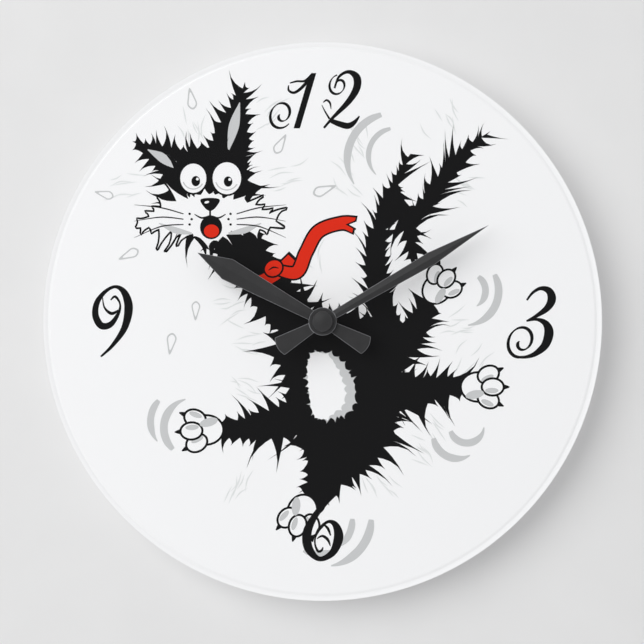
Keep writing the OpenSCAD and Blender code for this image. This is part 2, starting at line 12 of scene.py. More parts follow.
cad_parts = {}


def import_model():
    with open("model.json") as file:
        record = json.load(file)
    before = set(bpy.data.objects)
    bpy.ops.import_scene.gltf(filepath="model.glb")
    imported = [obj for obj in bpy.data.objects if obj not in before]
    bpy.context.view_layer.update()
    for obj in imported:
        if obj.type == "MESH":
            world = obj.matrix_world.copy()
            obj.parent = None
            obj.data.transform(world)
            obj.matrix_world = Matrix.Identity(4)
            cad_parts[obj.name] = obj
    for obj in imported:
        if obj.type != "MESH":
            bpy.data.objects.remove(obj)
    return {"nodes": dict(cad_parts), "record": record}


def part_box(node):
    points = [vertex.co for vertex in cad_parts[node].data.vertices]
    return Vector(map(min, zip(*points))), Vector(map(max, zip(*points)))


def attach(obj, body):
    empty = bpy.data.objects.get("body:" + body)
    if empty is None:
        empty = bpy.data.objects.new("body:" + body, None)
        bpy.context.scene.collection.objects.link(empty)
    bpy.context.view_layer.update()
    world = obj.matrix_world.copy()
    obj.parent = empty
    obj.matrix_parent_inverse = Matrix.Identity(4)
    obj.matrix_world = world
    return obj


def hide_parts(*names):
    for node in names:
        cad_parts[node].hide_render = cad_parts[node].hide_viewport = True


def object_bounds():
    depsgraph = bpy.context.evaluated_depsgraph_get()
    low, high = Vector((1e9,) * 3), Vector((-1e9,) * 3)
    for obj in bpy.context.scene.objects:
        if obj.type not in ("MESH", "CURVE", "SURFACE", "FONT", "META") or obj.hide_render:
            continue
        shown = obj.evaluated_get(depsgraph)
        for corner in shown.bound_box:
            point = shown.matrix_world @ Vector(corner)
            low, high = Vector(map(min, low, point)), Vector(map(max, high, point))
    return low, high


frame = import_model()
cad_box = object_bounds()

MM = 0.001
# each ink's colour and roughness
INKS = {
    "black": ("#171718", 0.42),
    "grey": ("#cbcccd", 0.45),
    "pale": ("#e5e7e7", 0.45),
    "red": ("#e0301c", 0.45),
}


# ---------- drawing the print ----------
# The print is drawn in millimetres on the dial, x to the right and y up from the hands' axis.
# Each shape is a closed outline in one ink, and a later shape covers an earlier one.
SHAPES = []


def smooth(points, closed=False, step=1.2):
    """A Catmull-Rom curve through the points, as a list of points about step apart."""
    count = len(points)
    curve = []
    for i in range(count if closed else count - 1):
        if closed:
            a, b, c, d = (points[(i + k) % count] for k in (-1, 0, 1, 2))
        else:
            a, b, c, d = (points[min(max(i + k, 0), count - 1)] for k in (-1, 0, 1, 2))
        pieces = max(2, round(math.dist(b[:2], c[:2]) / step))
        for k in range(pieces):
            t = k / pieces
            weights = (
                t * (-0.5 + t * (1 - 0.5 * t)),
                1 + t * t * (-2.5 + 1.5 * t),
                t * (0.5 + t * (2 - 1.5 * t)),
                t * t * (-0.5 + 0.5 * t),
            )
            curve.append(tuple(
                sum(w * p[j] for w, p in zip(weights, (a, b, c, d))) for j in range(len(b))
            ))
    if not closed:
        curve.append(tuple(points[-1]))
    return curve


def curl(centre, start_r, end_r, start_angle, end_angle, thin, thick):
    """Points (x, y, width) of a slanted narrow spiral, from its outer to its inner end.

    A broad pen draws it, so that it is thick at the lower left and the upper right of each turn.
    """
    narrow, slant, pen = 0.86, 0.12, math.radians(42)
    steps = 26
    made = []
    for i in range(steps + 1):
        t = i / steps
        r = start_r + (end_r - start_r) * t ** 2.2
        a = math.radians(start_angle + (end_angle - start_angle) * t)
        made.append((
            centre[0] + r * (narrow * math.cos(a) + slant * math.sin(a)),
            centre[1] + r * math.sin(a),
            (thin + (thick - thin) * abs(math.cos(a - pen))) * min(1, 0.3 + 8 * (1 - t)),
        ))
    return made


def ellipse(x, y, rx, ry, tilt=0, steps=28):
    c, s = math.cos(math.radians(tilt)), math.sin(math.radians(tilt))
    made = []
    for i in range(steps):
        a = 2 * math.pi * i / steps
        u, v = rx * math.cos(a), ry * math.sin(a)
        made.append((x + u * c - v * s, y + u * s + v * c))
    return made


def fill(ink, outline):
    SHAPES.append((ink, [(p[0], p[1]) for p in outline]))


def band(points, step):
    """The outline of a stroke through points (x, y, width)."""
    line = smooth(points, step=step)
    left, right = [], []
    for i, (x, y, w) in enumerate(line):
        before, after = line[max(i - 1, 0)], line[min(i + 1, len(line) - 1)]
        dx, dy = after[0] - before[0], after[1] - before[1]
        size = math.hypot(dx, dy) or 1
        left.append((x - dy / size * w / 2, y + dx / size * w / 2))
        right.append((x + dy / size * w / 2, y - dx / size * w / 2))
    return left + right[::-1]


def stroke(ink, points):
    fill(ink, band(points, step=0.8))


def ring(ink, outline, width):
    """A line of even width that follows a closed outline."""
    loop = [(p[0], p[1], width) for p in outline]
    fill(ink, band(loop + loop[:2], step=0.6))


def spike(a, b, tip, bend):
    """One tuft between a and b, with sides that curve in towards its tip. bend curves the whole of it."""
    narrowing = 1.9
    root = ((a[0] + b[0]) / 2, (a[1] + b[1]) / 2)
    rise = (tip[0] - root[0], tip[1] - root[1])
    sides = []
    for end in (a, b):
        side = [end]
        # share is how far up the tuft a point lies
        for share in (0.16, 0.38, 0.68):
            across = (1 - share) ** narrowing
            sag = bend * share * (1 - share)
            side.append((
                root[0] + rise[0] * share + (end[0] - root[0]) * across - rise[1] * sag,
                root[1] + rise[1] * share + (end[1] - root[1]) * across + rise[0] * sag,
            ))
        sides.append(side)
    return sides[0] + [tip] + sides[1][:0:-1]


def tufts(rail, reach, pitch, push, rng):
    """Tufts along a rail of (point, way out, way along, depth of the hair below it).

    reach is about the length of a long tuft, and pitch the usual step from one to the next. push is the
    least and the most that a tuft leans along the rail.
    """
    deepest, widths = reach * 0.16, (0.5, 1.5)
    shortest, spread, rarity = 0.32, 1.15, 1.8
    roots, gone, want = [rail[0]], 0.0, pitch
    for before, here in zip(rail, rail[1:]):
        gone += math.dist(before[0], here[0])
        if gone >= want:
            point, out, along, depth = here
            # the valley between two tufts is cut a little way into the coat
            sink = min(deepest, depth) * rng.random()
            roots.append(((point[0] - out[0] * sink, point[1] - out[1] * sink), out, along))
            gone, want = 0.0, pitch * rng.uniform(*widths)
    outline = []
    for a, b in zip(roots, roots[1:]):
        # most tufts are short, and a few are long
        length = reach * (shortest + spread * rng.random() ** rarity)
        lean = rng.uniform(*push)
        way = [a[1][k] + b[1][k] + 2 * lean * b[2][k] for k in (0, 1)]
        norm = math.hypot(*way) or 1
        tip = tuple((a[0][k] + b[0][k]) / 2 + way[k] / norm * length for k in (0, 1))
        outline += spike(a[0], b[0], tip, rng.uniform(-0.5, 0.5))
    return outline + [roots[-1][0]]


def rail_along(points, side=1):
    """Each point of a line with its unit ways out, to one side, and along."""
    made = []
    for i, here in enumerate(points):
        before, after = points[max(i - 1, 0)], points[min(i + 1, len(points) - 1)]
        dx, dy = after[0] - before[0], after[1] - before[1]
        size = math.hypot(dx, dy) or 1
        along = (dx / size, dy / size)
        made.append((here[:2], (side * along[1], -side * along[0]), along))
    return made


def fur(ink, points, reach, pitch, seed, lean=0.45):
    """A closed shape whose edge is drawn out into tufts."""
    depth = 3
    curve = smooth(points, closed=True, step=0.5)
    if sum(p[0] * q[1] - q[0] * p[1] for p, q in zip(curve, curve[1:] + curve[:1])) < 0:
        # tufts point to the right of the way along, which is outwards only if the shape runs anticlockwise
        curve.reverse()
    curve.append(curve[0])
    rail = [(*place, depth) for place in rail_along(curve)]
    fill(ink, tufts(rail, reach, pitch, (-lean, lean), random.Random(seed)))


def furry_limb(ink, points, reach, seed, pitch, flow=0.6, lean=0.45):
    """A furry stroke through points (x, y, width), whose hair leans towards its far end."""
    rng = random.Random(seed)
    line = smooth(points, step=0.5)
    sides = []
    for side in (1, -1):
        rail = [
            ((point[0] + out[0] * w / 2, point[1] + out[1] * w / 2), out, along, w / 2)
            for (point, out, along), (_, _, w) in zip(rail_along(line, side), line)
        ]
        sides.append(tufts(rail, reach, pitch, (flow - lean, flow + lean), rng))
    fill(ink, sides[0] + [line[-1]] + sides[1][::-1])


def hairs(centre, angles, seed):
    """Loose pale hairs in a fan: they start round centre and point between two angles."""
    count, spread, length, width = 7, 7, 10, 0.7
    rng = random.Random(seed)
    for _ in range(count):
        a = math.radians(rng.uniform(*angles))
        x = centre[0] + rng.uniform(-spread, spread)
        y = centre[1] + rng.uniform(-spread, spread)
        r = length * rng.uniform(0.6, 1.2)
        bend = rng.uniform(-0.12, 0.12) * r
        way = (math.cos(a), math.sin(a))
        stroke("pale", [
            (x, y, 0.12),
            (x + r / 2 * way[0] - bend * way[1], y + r / 2 * way[1] + bend * way[0], width),
            (x + r * way[0], y + r * way[1], 0.1),
        ])


def paw(x, y, angle, size):
    """A white paw with three round toes and claws, pointing along angle."""
    c, s = math.cos(math.radians(angle)), math.sin(math.radians(angle))

    def put(u, v):
        return (x + (u * c - v * s) * size, y + (u * s + v * c) * size)

    def pad(place, rx, ry, tilt):
        """A white ellipse with a black line round it."""
        line = 1.0 * size
        fill("black", ellipse(*place, rx * size + line, ry * size + line, tilt))
        fill("white", ellipse(*place, rx * size, ry * size, tilt))

    pad(put(0, 0), 7.4, 6.2, angle)
    for v, u, turn in ((5.6, 4.6, 24), (-5.6, 4.6, -24), (0, 6.6, 0)):
        # the claw comes from behind the toe
        t = math.radians(angle + turn)
        toe = put(u, v)
        root = (toe[0] + 3.4 * size * math.cos(t), toe[1] + 3.4 * size * math.sin(t))
        tip = (toe[0] + 7.6 * size * math.cos(t), toe[1] + 7.6 * size * math.sin(t))
        middle = ((root[0] + tip[0]) / 2, (root[1] + tip[1]) / 2)
        inner = (root[0] * 0.55 + tip[0] * 0.45, root[1] * 0.55 + tip[1] * 0.45)
        stroke("black", [(*root, 2.8 * size), (*middle, 2.1 * size), (*tip, 0.5 * size)])
        stroke("white", [(*root, 1.3 * size), (*inner, 0.5 * size)])
        pad(toe, 4.5, 3.4, angle + turn)
        shade = put(u - 0.4, v - 1.6)
        fill("grey", ellipse(*shade, 3.0 * size, 1.2 * size, angle + turn))
    shade = put(-1.5, -3.4)
    fill("grey", ellipse(*shade, 4.2 * size, 1.9 * size, angle + 12))


def motion_mark(points, width):
    """A grey arc of nearly even width, blunt where it starts and pointed where it ends."""
    count = len(points) - 1
    stroke("grey", [
        (x, y, width * min(1, 0.6 + 2.4 * i / count, 0.15 + 2.6 * (1 - i / count)))
        for i, (x, y) in enumerate(points)
    ])


def arc(x, y, r, start, end):
    steps = 8
    angles = [math.radians(start + (end - start) * i / steps) for i in range(steps + 1)]
    return [(x + r * math.cos(a), y + r * math.sin(a)) for a in angles]


def sweat_drop(x, y, angle, size):
    """A drop drawn in grey outline, its point along angle."""
    c, s = math.cos(math.radians(angle)), math.sin(math.radians(angle))
    shape = [(7, 0), (2, 1.8), (-2.5, 2.6), (-5, 0), (-2.5, -2.6), (2, -1.8)]
    for ink, share, back in (("grey", 1, 0), ("white", 0.72, 0.4)):
        fill(ink, smooth([
            (x + ((u * c - v * s) * share - back * c) * size, y + ((u * s + v * c) * share - back * s) * size)
            for u, v in shape
        ], closed=True, step=0.8))


def draw_marks():
    """Arcs beside the paws and the tail, and drops that fly off."""
    for x, y, r, start, end, width in (
        (35, 79, 23, 106, 211, 3.8), (36, 81, 13.6, 102, 223, 2.6),
        (71, 15, 8.6, 54, -60, 3.3), (69, 15, 17, 28, -83, 3.8),
        (70.5, -51, 8.4, 198, 355, 3.5), (66, -55, 12, 190, 300, 3.7),
        (-2, -97, 16.5, 2, -52, 3.4), (0, -96, 23.8, -2, -80, 4.2), (-2, -98, 15.5, 242, 300, 3.2),
        (-68.5, -49, 15.6, 138, 218, 3.4), (-63, -52, 14.6, 226, 106, 3.8),
    ):
        motion_mark(arc(x, y, r, start, end), width)
    for x, y, angle, size in (
        (-64, 108, 100, 0.9), (-21, 86, 60, 0.9), (-106, 62, 165, 0.8), (-94, 33, 205, 0.9),
        (0, 64, 20, 1.0), (-74, -10, 262, 0.9), (-62, 6, 268, 0.8),
    ):
        sweat_drop(x, y, angle, size)


def draw_loose_hair():
    """Single pale hairs that stand off the coat."""
    for x, y, low, high in (
        (-63, 92, 80, 120), (-26, 100, 20, 60), (16, 66, 110, 150), (60, 96, 90, 130),
        (66, 66, -40, 10), (-2, 30, 60, 130), (48, -62, -60, -20), (-34, -34, 120, 170), (-40, -76, 220, 260),
        (70, -20, 30, 80), (26, -76, -70, -40), (-34, -10, 150, 200), (-92, 66, 165, 205), (-20, 70, -10, 30),
        (-44, 10, 170, 215), (22, 84, 100, 140), (62, -4, -10, 40), (52, -50, -70, -30),
    ):
        hairs((x, y), (low, high), seed=200 + x + 3 * y)


def draw_body():
    # tail: three brushes of hair, up, back down in a kink, and out to the tip
    for seed, line in (
        (19, [(33, -8, 16), (27, 14, 12), (26, 36, 10), (31, 56, 8), (37, 70, 5), (43, 82, 0.6)]),
        (12, [(34, 66, 5), (38, 57, 8), (42, 46, 8), (44, 35, 5), (44, 26, 0.6)]),
        (17, [(41, 42, 4), (48, 53, 8), (57, 67, 9), (66, 79, 8), (74, 87, 5), (82, 93, 0.6)]),
    ):
        furry_limb("black", line, 12, seed, pitch=4.2, flow=1.2, lean=0.4)
    # thick places in the coat, where two brushes of the tail meet, and where a leg meets its paw
    for x, y, rx, ry in ((35, 56, 4, 6), (43, 51, 4, 6), (-3, -89, 4.6, 5.6)):
        fill("black", ellipse(x, y, rx, ry, -20))
    # far legs
    furry_limb("black", [(30, -18, 20), (42, -8, 14), (50, 4, 11), (53, 10, 9)], 10, seed=13, pitch=4.2)
    furry_limb("black", [(6, -64, 24), (0, -78, 17), (-6, -88, 12)], 12, seed=14, pitch=4.2)
    # torso
    fur("black", [
        (-20, 6), (-4, 6), (12, 4), (26, 0), (36, -16), (40, -36), (34, -56), (20, -74), (5, -82),
        (-6, -72), (-12, -54), (-17, -34), (-24, -16),
    ], 14, pitch=4.6, seed=5)
    # near legs
    for seed, reach, line in (
        (15, 12, [(26, -36, 24), (44, -34, 17), (60, -32, 12), (69, -32, 10)]),
        (16, 13, [(-6, -44, 22), (-22, -50, 16), (-38, -52, 12), (-53, -53, 9)]),
    ):
        furry_limb("black", line, reach, seed, pitch=4.4)
    # belly, with its shaded side
    fur("grey", [
        (-4, -15), (6, -17), (11.5, -23), (15.5, -31), (15, -40), (10.5, -45.5), (4, -47), (-0.5, -47.5),
        (-4.5, -44.5), (-6.3, -35), (-7, -26), (-6.8, -20),
    ], 2.0, pitch=3.2, seed=21)
    fur("white", [
        (-4.2, -15), (3, -17), (7.5, -24), (10.6, -33), (10, -40.5), (5.5, -44.5), (2.5, -47), (-0.6, -47.8),
        (-4.8, -45), (-6.6, -35), (-7.3, -26), (-7, -20),
    ], 1.5, pitch=3.0, seed=22)


def draw_paws():
    paw(56, 16, 48, 1.0)
    paw(76, -32, 0, 1.08)
    paw(-57, -53, 184, 1.08)
    paw(-10, -93, 252, 1.08)


def draw_head():
    # middle of the skull
    x, y = -55, 64
    # neck
    neck = [(-52, 58, 26), (-41, 37, 24), (-27, 17, 21), (-12, -2, 24)]
    furry_limb("black", neck, 10, seed=33, flow=0.3, pitch=4.2)
    # ears
    for seed, line in (
        (41, [(-58, 66, 24), (-68, 74, 20), (-78, 80, 14), (-93, 88, 0.6)]),
        (42, [(-50, 70, 24), (-46, 84, 20), (-43, 97, 14), (-38, 117, 0.6)]),
    ):
        furry_limb("black", line, 9, seed, pitch=3.8, flow=0.9)
        # the inside of the ear: from the second point, past the third, to half way to the tip
        lining = []
        for i, t, width in ((1, 0, 1.0), (1, 0.9, 5.0), (2, 0.5, 0.4)):
            start, end = line[i], line[i + 1]
            lining.append((start[0] * (1 - t) + end[0] * t, start[1] * (1 - t) + end[1] * t, width))
        stroke("grey", lining)
    # skull
    fur("black", [
        (x - 21, y), (x - 18, y + 12), (x - 9, y + 20), (x + 5, y + 21), (x + 16, y + 14), (x + 20, y + 1),
        (x + 17, y - 14), (x + 6, y - 24), (x - 8, y - 24), (x - 17, y - 15),
    ], 12, pitch=4.2, seed=43)
    # muzzle and cheeks: white, with a black line round the three together
    fur("white", ellipse(x, y - 13, 12, 12, steps=12), 5, pitch=4.6, seed=52)
    for side in (-1, 1):
        cheek = [
            (x, y - 13, 15), (x + side * 13, y - 12, 17),
            (x + side * 24, y - 14, 11), (x + side * 36, y - 18, 0.6),
        ]
        furry_limb("white", cheek, 9, 57 + side, pitch=5.4, flow=1.0, lean=0.3)
    edges = [edge for _, edge in SHAPES[-3:]]
    del SHAPES[-3:]
    for edge in edges:
        ring("black", edge, 1.8)
    for edge in edges:
        fill("white", edge)
    for side in (-1, 1):
        stroke("grey", [
            (x + side * 9, y - 21, 1.0), (x + side * 17, y - 19.4, 3.0), (x + side * 25, y - 16, 0.4),
        ])
    # eyes
    for side, size, look in ((-1, 6.4, (1.2, -1.4)), (1, 7.0, (0.6, -1.6))):
        ex, ey = x + side * 8.2, y + 6
        fill("black", ellipse(ex, ey, size + 0.9, size * 1.12 + 0.9))
        fill("white", ellipse(ex, ey, size, size * 1.12))
        fill("black", ellipse(ex + look[0], ey + look[1], 2.1, 2.5))
        fill("white", ellipse(ex + look[0] + 0.8, ey + look[1] + 1.0, 0.7, 0.7))
        stroke("grey", [(*p, 0.6) for p in arc(ex, ey, size * 0.82, 200, 330)])
    # nose, mouth and whiskers
    nose = [(x - 4.8, y - 4.6), (x, y - 3.6), (x + 4.8, y - 4.6), (x + 1.6, y - 9.4), (x - 1.6, y - 9.4)]
    fill("black", smooth(nose, closed=True))
    fill("white", ellipse(x - 1.6, y - 5.7, 1.2, 0.6, 12))
    fill("black", ellipse(x + 0.5, y - 18, 5.4, 5.8))
    fill("red", ellipse(x + 0.7, y - 19.8, 3.7, 3.2))
    stroke("black", [(x, y - 9, 0.9), (x, y - 12.6, 0.9)])
    for side in (-1, 1):
        stroke("black", [(x, y - 12.4, 0.9), (x + side * 4, y - 13.4, 0.9), (x + side * 7.6, y - 11.6, 0.4)])
        # a dot and a whisker in each of three rows
        for k in (-1, 0, 1):
            fill("black", ellipse(x + side * (9 + abs(k)), y - 14 + 2.6 * k, 0.6, 0.6))
            stroke("black", [
                (x + side * 13, y - 14 + 2.6 * k, 0.5),
                (x + side * 24, y - 13 + 4.6 * k, 0.6),
                (x + side * 37, y - 15 + 8 * k, 0.15),
            ])


def draw_ribbon():
    knot = (-24, 26)
    stroke("black", [(-40, 21, 7.4), (-32, 19, 8.0), (-22, 24, 7.8), (-14, 32, 6.6)])
    stroke("red", [(-39.4, 21, 5.6), (-32, 19, 6.2), (-22, 24, 6.0), (-15, 31, 4.8)])
    tail_end = [(-13, 24), (-8, 34), (-2, 44), (9, 48)]
    stroke("black", [(knot[0], knot[1], 6)] + [(*p, 7.6) for p in tail_end] + [(16.2, 47, 9.6)])
    stroke("red", [(knot[0], knot[1], 4.2)] + [(*p, 5.8) for p in tail_end] + [(15.3, 47.1, 7.6)])
    # swallowtail cut in the loose end
    fill("black", [(16.3, 49.6), (11.2, 47.4), (16.3, 44.6)])
    fill("white", [(16.5, 48.8), (12.9, 47.4), (16.5, 45.4)])
    fill("black", ellipse(*knot, 5.2, 4.6, 30))
    fill("red", ellipse(*knot, 4.3, 3.7, 30))
    stroke("black", [(-26.5, 25, 0.3), (-24, 26.5, 0.8), (-21.5, 26, 0.3)])


def draw_numerals():
    # 1
    fill("black", [(-14.2, 94.4), (-11.1, 94.4), (-3.1, 121.4), (-5.3, 121.4), (-8.4, 118), (-7.7, 116.4)])
    stroke("black", [(-4.4, 120.6, 2.6), (-8.6, 117.6, 1.2), (-12.5, 117.4, 1.0), (-16, 116.5, 0.6)])
    stroke("black", [
        (-6, 119, 1.6), (-10.5, 114, 1.5), (-14, 111.8, 1.3), (-16.6, 113, 1.1), (-16.6, 115.4, 0.5),
    ])
    stroke("black", curl((-20.1, 101.1), 6.6, 0.9, -42, -545, 0.4, 1.5))
    # 2
    stroke("black", [
        (5.8, 114, 0.9), (8, 119.6, 1.2), (12.6, 122, 1.8), (16.6, 119.4, 3.6), (16.6, 114, 3.6),
        (12.6, 107.4, 2.8), (5, 99.6, 1.5), (0.6, 94.6, 1.1),
    ])
    stroke("black", [
        (3.4, 98.4, 2.0), (8, 96.6, 2.8), (12.4, 95.6, 3.0), (15.6, 97.4, 2.0), (18, 100.4, 0.6),
    ])
    stroke("black", [(3.4, 99, 1.0), (1.2, 102.6, 0.7), (-0.4, 105.8, 0.3)])
    stroke("black", [(0.3, 107, 0.4), (1.9, 108.2, 1.0), (3.6, 106.8, 1.0), (4.1, 103.8, 0.3)])
    stroke("black", curl((7.6, 115.6), 5.0, 1.2, 105, 500, 0.4, 1.3))
    # 3
    stroke("black", [
        (99.8, 10.4, 0.9), (102.6, 14, 1.3), (106.6, 16.2, 1.9), (110.6, 15, 3.4), (112, 11, 4.2),
        (109.8, 6.6, 3.2), (104.6, 2.8, 1.8), (99.6, 0.2, 0.8),
    ])
    stroke("black", [
        (99.6, 0.2, 0.8), (104.8, 1, 1.5), (109, -1, 3.2), (110.6, -5.4, 4.6), (108.8, -11.4, 4.0),
        (104.2, -15.6, 2.6), (99.6, -17.3, 1.6), (95.4, -17.4, 1.2),
    ])
    stroke("black", curl((97.2, -9.8), 7.7, 1.1, -92, -550, 0.7, 1.7))
    # 6
    stroke("black", [
        (6.2, -84, 2.2), (1, -89, 2.6), (-4.4, -96, 3.2), (-7.6, -103.4, 4.4), (-6.8, -111, 4.2),
        (-1.6, -116, 2.4), (4.8, -113, 3.4), (7.8, -105.6, 4.7), (6.4, -99.6, 3.2), (2.8, -97.8, 1.5),
        (-1.6, -101.4, 1.6), (-3.6, -105.6, 0.9), (-3.6, -109.4, 0.9), (-2.1, -112.4, 1.3),
        (-0.4, -111.8, 1.2), (0.2, -110.2, 0.4),
    ])
    stroke("black", [(-2.8, -106.2, 0.4), (-0.2, -104.8, 1.2), (2.5, -106.6, 1.4), (3.8, -109.8, 0.4)])
    stroke("black", [(0.8, -99.4, 0.8), (2.6, -101.2, 1.3), (3.9, -104.6, 0.7)])
    # 9
    stroke("black", [
        (-108.4, -17.2, 0.9), (-102.6, -11.6, 1.8), (-96.8, -3, 3.2), (-94.8, 6.8, 4.2), (-96.8, 14, 3.2),
        (-101, 17, 1.6), (-106, 14.8, 1.8), (-110.2, 9.4, 2.7), (-111, 3, 3.2), (-108.2, -2, 3.4),
        (-103.6, -1.4, 2.8), (-99.8, 4, 1.6), (-99, 8.6, 0.9), (-101.4, 12.2, 1.3), (-103.6, 10.4, 0.5),
    ])
    stroke("black", [(-107.6, 12, 0.4), (-106.6, 6.8, 0.9), (-103.2, 3.9, 1.6), (-99.8, 5.4, 0.9)])


def draw_all():
    draw_loose_hair()
    draw_marks()
    draw_body()
    draw_paws()
    draw_head()
    draw_ribbon()
    draw_numerals()


# ---------- turning the drawing into meshes ----------

def winding(outline, points):
    """How many times a closed outline goes round each point."""
    a = np.array(outline)
    b = np.roll(a, -1, axis=0)
    turns = np.zeros(len(points), int)
    # a chunk at a time, to keep the arrays small
    chunk = 4000
    for start in range(0, len(points), chunk):
        p = points[start:start + chunk]
        left = (
            (b[None, :, 0] - a[None, :, 0]) * (p[:, None, 1] - a[None, :, 1])
            - (p[:, None, 0] - a[None, :, 0]) * (b[None, :, 1] - a[None, :, 1])
        )
        up = (a[None, :, 1] <= p[:, None, 1]) & (b[None, :, 1] > p[:, None, 1]) & (left > 0)
        down = (a[None, :, 1] > p[:, None, 1]) & (b[None, :, 1] <= p[:, None, 1]) & (left < 0)
        turns[start:start + chunk] = up.sum(1) - down.sum(1)
    return turns


def cut_into_inks(shapes):
    """Splits the drawing into triangles that don't overlap, each in the ink that is on top there."""
    points, edges = [], []
    for _, outline in shapes:
        first, count = len(points), len(outline)
        points += [Vector(p) for p in outline]
        edges += [(first + i, first + (i + 1) % count) for i in range(count)]
    # output type 0 is plain triangles, and points nearer than this many millimetres are joined
    triangles, nearest = 0, 1e-4
    corners, _, faces, *_ = delaunay_2d_cdt(points, edges, [], triangles, nearest, False)
    corners = np.array([(c.x, c.y) for c in corners])
    faces = np.array([f for f in faces if len(f) == 3])
    middles = corners[faces].mean(axis=1)
    top = np.full(len(faces), "", dtype=object)
    for ink, outline in shapes:
        box = np.array(outline)
        near = np.all((middles >= box.min(0)) & (middles <= box.max(0)), axis=1)
        at = np.nonzero(near)[0]
        inside = winding(outline, middles[at]) != 0
        top[at[inside]] = ink
    return corners, faces, top


def slab(name, corners, faces, back, front):
    """A closed flat piece of ink from its triangles, between two depths towards the viewer."""
    used, inverse = np.unique(faces, return_inverse=True)
    faces = inverse.reshape(faces.shape)
    flat = corners[used]
    count = len(flat)
    points = [(x * MM, -front, y * MM) for x, y in flat] + [(x * MM, -back, y * MM) for x, y in flat]
    # a dictionary keeps the edges in order, so that the mesh is the same each run
    directed = {}
    polygons = []
    for a, b, c in faces.tolist():
        (ax, ay), (bx, by), (cx, cy) = flat[a], flat[b], flat[c]
        if (bx - ax) * (cy - ay) - (by - ay) * (cx - ax) < 0:
            b, c = c, b
        polygons += [(a, b, c), (c + count, b + count, a + count)]
        for edge in ((a, b), (b, c), (c, a)):
            directed[edge] = True
    # an edge that no second triangle shares gets a side wall
    for a, b in directed:
        if (b, a) not in directed:
            polygons.append((b, a, a + count, b + count))
    mesh = bpy.data.meshes.new(name)
    mesh.from_pydata(points, [], polygons)
    mesh.update()
    return add(name, mesh)


def add(name, mesh):
    piece = bpy.data.objects.new(name, mesh)
    bpy.context.scene.collection.objects.link(piece)
    return piece


def lathe(name, profile):
    """A closed solid turned round the hands' axis from (radius, depth towards the viewer) pairs."""
    segments = 256
    sharp_angle = math.radians(35)
    mesh = bpy.data.meshes.new(name)
    bm = bmesh.new()
    rows = []
    for i in range(segments):
        a = 2 * math.pi * i / segments
        rows.append([bm.verts.new((r * math.cos(a), -depth, r * math.sin(a))) for r, depth in profile])
    for i, row in enumerate(rows):
        after = rows[(i + 1) % segments]
        for k in range(len(profile)):
            n = (k + 1) % len(profile)
            bm.faces.new((row[k], row[n], after[n], after[k]))
    bmesh.ops.recalc_face_normals(bm, faces=bm.faces)
    bm.to_mesh(mesh)
    bm.free()
    for polygon in mesh.polygons:
        polygon.use_smooth = True
    mesh.set_sharp_from_angle(angle=sharp_angle)
    return add(name, mesh)


# ---------- materials ----------

def linear(colour):
    """Shader colour of an sRGB hex string."""
    parts = [int(colour[i:i + 2], 16) / 255 for i in (1, 3, 5)]
    return [c / 12.92 if c <= 0.04045 else ((c + 0.055) / 1.055) ** 2.4 for c in parts] + [1.0]


# a noise texture seldom goes outside this
NOISE_RANGE = (0.3, 0.7)


